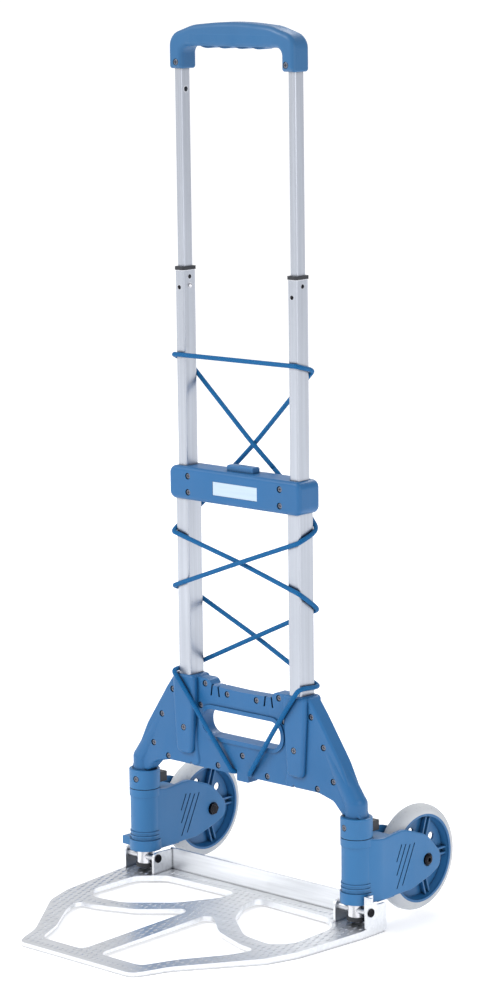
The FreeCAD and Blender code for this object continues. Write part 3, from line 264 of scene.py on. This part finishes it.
def woven_cord(name, colour):
    """Braided sleeve: two sets of crossing yarns, laid out by the tube's own UV map, with painted shade in
    the grooves between them.
    """
    material = new_material(name, 0.55, 0.0, Sheen_Weight=0.02, Specular_IOR_Level=0.2)
    uv = node(material, "ShaderNodeUVMap", uv_map="around_along")
    parts = node(material, "ShaderNodeSeparateXYZ")
    link(material, uv.outputs["UV"], parts.inputs["Vector"])
    around = combine(material, "MULTIPLY", parts.outputs["X"], 8.0 * math.tau)
    along = combine(material, "MULTIPLY", parts.outputs["Y"], 2.2 * math.tau)
    first = combine(material, "SINE", combine(material, "ADD", around, along), 0.0)
    second = combine(material, "SINE", combine(material, "SUBTRACT", around, along), 0.0)
    yarns = combine(material, "MAXIMUM", first, second)
    # painted shade: the grooves between the yarns are darkened
    groove_shade_colour = tuple(0.45 * c for c in colour[:3]) + (1.0,)
    base = mix(material, spread(material, yarns, -0.3, 0.9), groove_shade_colour, colour)
    base = mix(material, spread(material, noise(material, 900.0, 3.0), 0.6, 0.8, 0.0, 0.35), base,
               linear(90, 160, 208))
    link(material, base, shader_of(material).inputs["Base Color"])
    bump(material, yarns, 0.6, 0.25 * MM)
    return material


def satin_label(name, colour):
    """Blank metallised plate with a faint brushed sheen."""
    material = new_material(name, 0.42, 0.1)
    streaks = noise(material, 300.0, 4.0, (0.05, 1.0, 1.0))
    base = mix(material, streaks, colour, linear(196, 214, 228))
    link(material, base, shader_of(material).inputs["Base Color"])
    bump(material, streaks, 0.15, 0.03 * MM)
    return material


BLUE = linear(24, 98, 153)
FINISHES = {
    "frame_plastic": moulded_plastic("frame_plastic", BLUE, 0.42, 0.25),
    "arm_plastic": moulded_plastic("arm_plastic", linear(40, 110, 164), 0.42, 0.25),
    "rim_plastic": moulded_plastic("rim_plastic", linear(40, 104, 156), 0.38, 0.2),
    "grip_plastic": moulded_plastic("grip_plastic", linear(38, 98, 146), 0.5, 0.45),
    "grip_insert_plastic": moulded_plastic("grip_insert_plastic", linear(38, 98, 146), 0.62, 0.7),
    "button_plastic": moulded_plastic("button_plastic", linear(46, 108, 160), 0.4, 0.2),
    "black_plastic": moulded_plastic("black_plastic", linear(38, 40, 46), 0.5, 0.4),
    # the tube's second colour is its painted corner highlight
    "tube_aluminium": drawn_tube("tube_aluminium", linear(190, 195, 204), linear(244, 246, 250), 0.34),
    "leg_steel": drawn_metal("leg_steel", linear(224, 224, 228), 0.16, (1.0, 1.0, 8.0), 0.9, 0.1),
    "plate_aluminium": drawn_metal("plate_aluminium", linear(238, 240, 243), 0.33, (0.05, 1.0, 1.0)),
    "snap_steel": drawn_metal("snap_steel", linear(225, 225, 228), 0.15, (1.0, 1.0, 1.0), 0.9, 0.1),
    "inner_steel": drawn_metal("inner_steel", linear(170, 170, 174), 0.3, (1.0, 1.0, 1.0)),
    "screw_steel": dark_metal("screw_steel", linear(112, 117, 130), 0.34),
    "bolt_steel": dark_metal("bolt_steel", linear(34, 34, 38), 0.28),
    "black_steel": pin_metal("black_steel", linear(26, 26, 30), linear(200, 202, 206), 0.35),
    "tyre": grey_rubber("tyre", linear(186, 190, 195)),
    "cord": woven_cord("cord", linear(2, 102, 162)),
    "label": satin_label("label", linear(176, 196, 214)),
}


def finish_nodes():
    """Every CAD node gets the finish of its slot in the record."""
    for entry in frame["record"]["subparts"]:
        piece = frame["nodes"][entry["node"]]
        piece.data.materials.clear()
        piece.data.materials.append(FINISHES[entry["material_slot"]])


# ---------------------------------------------------------------- pieces made here
def mesh_piece(name, vertices, faces, slot, body):
    """Mesh object that rides on a body, with the finish of a material slot."""
    mesh = bpy.data.meshes.new(name)
    mesh.from_pydata(vertices, [], faces)
    mesh.update()
    piece = bpy.data.objects.new(name, mesh)
    bpy.context.scene.collection.objects.link(piece)
    mesh.materials.append(FINISHES[slot])
    if body:
        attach(piece, body)
    return piece


TREAD_PITCH, TREAD_ROW = 7.9 * MM, 10.5 * MM
TREAD_HALF_X, TREAD_HALF_Y = 1.7 * MM, 4.5 * MM
TREAD_HIGH = 0.7 * MM


def sheet_height(plate, x, y):
    """Height of the plate's flat top at x, y, or None at an edge, hole, lug or flange."""
    heights = []
    wide, long = 3.0 * MM, 5.4 * MM
    for dx, dy in ((0.0, 0.0), (wide, 0.0), (-wide, 0.0), (0.0, long), (0.0, -long)):
        hit, place, normal, _ = plate.ray_cast(Vector((x + dx, y + dy, 0.06)), Vector((0, 0, -1)))
        if not hit or place.z > 0.0105 or normal.z < 0.98:
            return None
        heights.append(place.z)
    return heights[0] if max(heights) - min(heights) < 0.4 * MM else None


def tread():
    """Raised lozenge studs in staggered rows on the toe plate's sheet."""
    plate = frame["nodes"]["toe_plate"]
    low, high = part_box("toe_plate")
    vertices, faces = [], []
    rows = int((high[1] - low[1]) / TREAD_ROW)
    columns = int((high[0] - low[0]) / TREAD_PITCH)
    for row in range(rows):
        y = low[1] + row * TREAD_ROW
        for column in range(columns):
            x = low[0] + (column + 0.5 * (row % 2)) * TREAD_PITCH
            z = sheet_height(plate, x, y)
            if z is None:
                continue
            start = len(vertices)
            for share, height in ((1.0, -0.1 * MM), (0.5, TREAD_HIGH)):
                wide, long = share * TREAD_HALF_X, share * TREAD_HALF_Y
                vertices += [(x - wide, y, z + height), (x, y - long, z + height),
                             (x + wide, y, z + height), (x, y + long, z + height)]
            faces.append([start + 4, start + 5, start + 6, start + 7])
            for side in range(4):
                following = (side + 1) % 4
                faces.append([start + side, start + following, start + following + 4, start + side + 4])
    return mesh_piece("plate_tread", vertices, faces, "plate_aluminium", "toe_plate")


# ---------------------------------------------------------------- elastic cord
CORD_R = 2.75 * MM
TIGHT, CROSSING, EASY = 6.0, 3.0, 1.0     # weights: at a tube's corner, at a crossing, elsewhere
LEFT_STRAND = [
    (0.0, 0.0114, 0.1586, EASY), (-0.0124, 0.0114, 0.1586, TIGHT), (-0.0124, -0.0114, 0.1586, TIGHT),
    (-0.0319, -0.0139, 0.1851, EASY), (-0.073, -0.0193, 0.241, EASY),
    (-0.09965, -0.0193, 0.271, TIGHT), (-0.09965, 0.0161, 0.270, TIGHT), (-0.0698, 0.0149, 0.2841, EASY),
    (0.0, 0.0122, 0.317, CROSSING), (0.0699, 0.0149, 0.3503, EASY),
    (0.09965, 0.0161, 0.3645, TIGHT), (0.09965, -0.0161, 0.3865, TIGHT), (0.0677, -0.0148, 0.3946, EASY),
    (0.0045, -0.0122, 0.4105, CROSSING), (-0.0676, -0.0149, 0.4285, EASY),
    (-0.09965, -0.0161, 0.4365, TIGHT), (-0.09965, 0.0161, 0.452, TIGHT), (-0.0764, 0.0211, 0.474, CROSSING),
    (-0.0365, 0.0211, 0.513, EASY), (-0.030, 0.0213, 0.519, EASY),
]
RIGHT_STRAND = [
    (0.0, 0.0114, 0.1586, EASY), (0.0124, 0.0114, 0.1586, TIGHT), (0.0124, -0.0114, 0.1586, TIGHT),
    (0.0319, -0.0139, 0.1851, EASY), (0.073, -0.0193, 0.241, EASY),
    (0.09965, -0.0193, 0.277, TIGHT), (0.09965, 0.0161, 0.2735, TIGHT), (0.0694, 0.0172, 0.2867, EASY),
    (0.0, 0.0196, 0.317, CROSSING), (-0.0694, 0.0172, 0.3473, EASY),
    (-0.09965, 0.0161, 0.3605, TIGHT), (-0.09965, -0.0161, 0.371, TIGHT), (-0.0688, -0.0171, 0.3827, EASY),
    (0.0045, -0.0196, 0.4105, CROSSING), (0.0687, -0.0172, 0.4345, EASY),
    (0.09965, -0.0161, 0.446, TIGHT), (0.09965, 0.0161, 0.456, TIGHT), (0.0798, 0.0211, 0.474, CROSSING),
    (0.0365, 0.0211, 0.513, EASY), (0.0298, 0.0202, 0.519, EASY),
]
TOP_LOOP = [
    (-0.030, 0.0213, 0.519, EASY), (-0.0005, 0.0222, 0.5463, CROSSING), (0.0731, 0.0157, 0.6167, EASY),
    (0.09695, 0.01365, 0.6395, TIGHT), (0.09695, -0.01365, 0.6465, TIGHT), (0.064, -0.01365, 0.6462, EASY),
    (-0.064, -0.01365, 0.6453, EASY), (-0.09695, -0.01365, 0.645, TIGHT), (-0.09695, 0.01365, 0.6335, TIGHT),
    (-0.0725, 0.0143, 0.6114, EASY), (-0.0005, 0.0163, 0.5463, CROSSING), (0.0298, 0.0202, 0.519, EASY),
]


def spline_points(name, route):
    """Points along the route's smooth line."""
    curve = bpy.data.curves.new(name + "_line", "CURVE")
    curve.dimensions = "3D"
    spline = curve.splines.new("NURBS")
    spline.points.add(len(route) - 1)
    for point, place in zip(spline.points, route):
        point.co = place
    spline.order_u = 3
    spline.use_endpoint_u = True
    spline.resolution_u = 24
    carrier = bpy.data.objects.new(name + "_line", curve)
    mesh = bpy.data.meshes.new_from_object(carrier)
    points = [vertex.co.copy() for vertex in mesh.vertices]
    bpy.data.objects.remove(carrier)
    return points


def thin_out(points, least):
    """The same line without points closer together than least."""
    kept = [points[0]]
    for point in points[1:-1]:
        if (point - kept[-1]).length >= least and (point - points[-1]).length >= least:
            kept.append(point)
    return kept + [points[-1]]


def cord_piece(name, node_name, route):
    """Round tube with a UV map, along the route's line."""
    line = thin_out(spline_points(name, route), 1.2 * MM)
    sides = 14
    vertices, faces, lengths = [], [], [0.0]
    across = (line[1] - line[0]).orthogonal().normalized()
    for i, point in enumerate(line):
        ahead = (line[min(i + 1, len(line) - 1)] - line[max(i - 1, 0)]).normalized()
        across = (across - ahead * across.dot(ahead)).normalized()
        other = ahead.cross(across)
        if i:
            lengths.append(lengths[-1] + (point - line[i - 1]).length)
        for k in range(sides):
            turn = math.tau * k / sides
            vertices.append(point + (across * math.cos(turn) + other * math.sin(turn)) * CORD_R)
    for i in range(len(line) - 1):
        for k in range(sides):
            a, b = i * sides + k, i * sides + (k + 1) % sides
            faces.append([a, b, b + sides, a + sides])
    faces.append(list(range(sides))[::-1])
    faces.append(list(range((len(line) - 1) * sides, len(line) * sides)))
    piece = mesh_piece(name, vertices, faces, "cord", None)
    layer = piece.data.uv_layers.new(name="around_along")
    for face in piece.data.polygons:
        face.use_smooth = len(face.vertices) == 4
        columns = [piece.data.loops[i].vertex_index % sides for i in face.loop_indices]
        wraps = max(columns) - min(columns) > sides / 2
        for i in face.loop_indices:
            ring, column = divmod(piece.data.loops[i].vertex_index, sides)
            around = column + sides if wraps and column == 0 else column
            layer.data[i].uv = (around / sides, lengths[ring] / (2 * CORD_R))
    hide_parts(node_name)
    return piece, line, lengths[-1]


def cords():
    """The endless lacing in three lengths, all riding on the chassis; the part above the crossbar gets its
    own mesh.
    """
    for name, node_name, route in (("cord_left", "cord_lower_left", LEFT_STRAND),
                                   ("cord_right", "cord_lower_right", RIGHT_STRAND),
                                   ("cord_loop", "cord_top_loop", TOP_LOOP)):
        piece, line, length = cord_piece(name, node_name, route)
        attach(piece, "chassis")
        if route is TOP_LOOP:
            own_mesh(piece)


# ---------------------------------------------------------------- studio
WHITE = (1.0, 1.0, 1.0, 1.0)
FLOOR_GLOW, SKY_STRENGTH = 0.36, 0.86
FLOOR_SIDES, FLOOR_RADIUS = 48, 40.0


def studio():
    """Pale floor with a faint glow of its own, so that its far part is as light as the near."""
    material = new_material("studio_floor", 0.85, 0.0)
    tone = mix(material, noise(material, 1.5, 2.0), linear(246, 246, 248), linear(252, 252, 252))
    link(material, tone, shader_of(material).inputs["Base Color"])
    shader_of(material).inputs["Emission Color"].default_value = WHITE
    shader_of(material).inputs["Emission Strength"].default_value = FLOOR_GLOW
    mesh = bpy.data.meshes.new("studio_floor")
    turns = [math.tau * i / FLOOR_SIDES for i in range(FLOOR_SIDES)]
    rim = [(FLOOR_RADIUS * math.cos(turn), FLOOR_RADIUS * math.sin(turn), 0.0) for turn in turns]
    mesh.from_pydata(rim, [], [list(range(FLOOR_SIDES))])
    mesh.materials.append(material)
    floor = bpy.data.objects.new("studio_floor", mesh)
    bpy.context.scene.collection.objects.link(floor)


def sky():
    """Soft white surround, greyer low on one side so that the metal shows some contrast."""
    world = bpy.data.worlds.new("studio")
    bpy.context.scene.world = world
    world.use_nodes = True
    nodes, links = world.node_tree.nodes, world.node_tree.links
    coordinates = nodes.new("ShaderNodeTexCoord")
    gradient = nodes.new("ShaderNodeVectorMath")
    gradient.operation = "DOT_PRODUCT"
    gradient.inputs[1].default_value = (-0.55, -0.45, 0.70)
    ramp = nodes.new("ShaderNodeValToRGB")
    ramp.color_ramp.elements[0].position = 0.0
    ramp.color_ramp.elements[0].color = (0.70, 0.71, 0.75, 1.0)
    ramp.color_ramp.elements[1].position = 0.75
    ramp.color_ramp.elements[1].color = WHITE
    links.new(coordinates.outputs["Generated"], gradient.inputs[0])
    links.new(gradient.outputs["Value"], ramp.inputs["Fac"])
    links.new(ramp.outputs["Color"], nodes["Background"].inputs["Color"])
    nodes["Background"].inputs["Strength"].default_value = SKY_STRENGTH
    bpy.context.scene.view_settings.view_transform = "Standard"


def area_light(name, place, target, size, power):
    """Round soft light at place, facing target."""
    data = bpy.data.lights.new(name, "AREA")
    data.shape = "DISK"
    data.size = size
    data.energy = power
    light = bpy.data.objects.new(name, data)
    light.location = place
    light.rotation_euler = (Vector(target) - Vector(place)).to_track_quat("-Z", "Y").to_euler()
    bpy.context.scene.collection.objects.link(light)


def lights():
    middle = (0.0, 0.0, 0.5)
    area_light("key", (-1.6, -2.6, 3.2), middle, 1.6, 72.0)
    area_light("fill", (3.2, -0.6, 1.6), middle, 2.2, 22.0)
    area_light("back", (-1.0, 2.8, 2.4), middle, 1.8, 34.0)


def camera():
    """Camera in front, to the right and above, turned a little about its own axis."""
    azimuth, elevation, roll = (math.radians(a) for a in (42.795, 10.22, -0.749))
    back = Vector((math.sin(azimuth) * math.cos(elevation), -math.cos(azimuth) * math.cos(elevation),
                   math.sin(elevation)))
    right = Vector((math.cos(azimuth), math.sin(azimuth), 0.0))
    up = back.cross(right)
    across = right * math.cos(roll) + up * math.sin(roll)
    upward = up * math.cos(roll) - right * math.sin(roll)
    data = bpy.data.cameras.new("camera")
    data.lens = 118.8
    data.sensor_width = 36.0
    data.dof.use_dof = False
    eye = bpy.data.objects.new("camera", data)
    turn = Matrix((across, upward, back)).transposed().to_4x4()
    eye.matrix_world = Matrix.Translation((2.534985, -2.746728, 1.155903)) @ turn
    bpy.context.scene.collection.objects.link(eye)
    bpy.context.scene.camera = eye


# ---------------------------------------------------------------- build
finish_nodes()
tread()
cords()
studio()
sky()
lights()
camera()
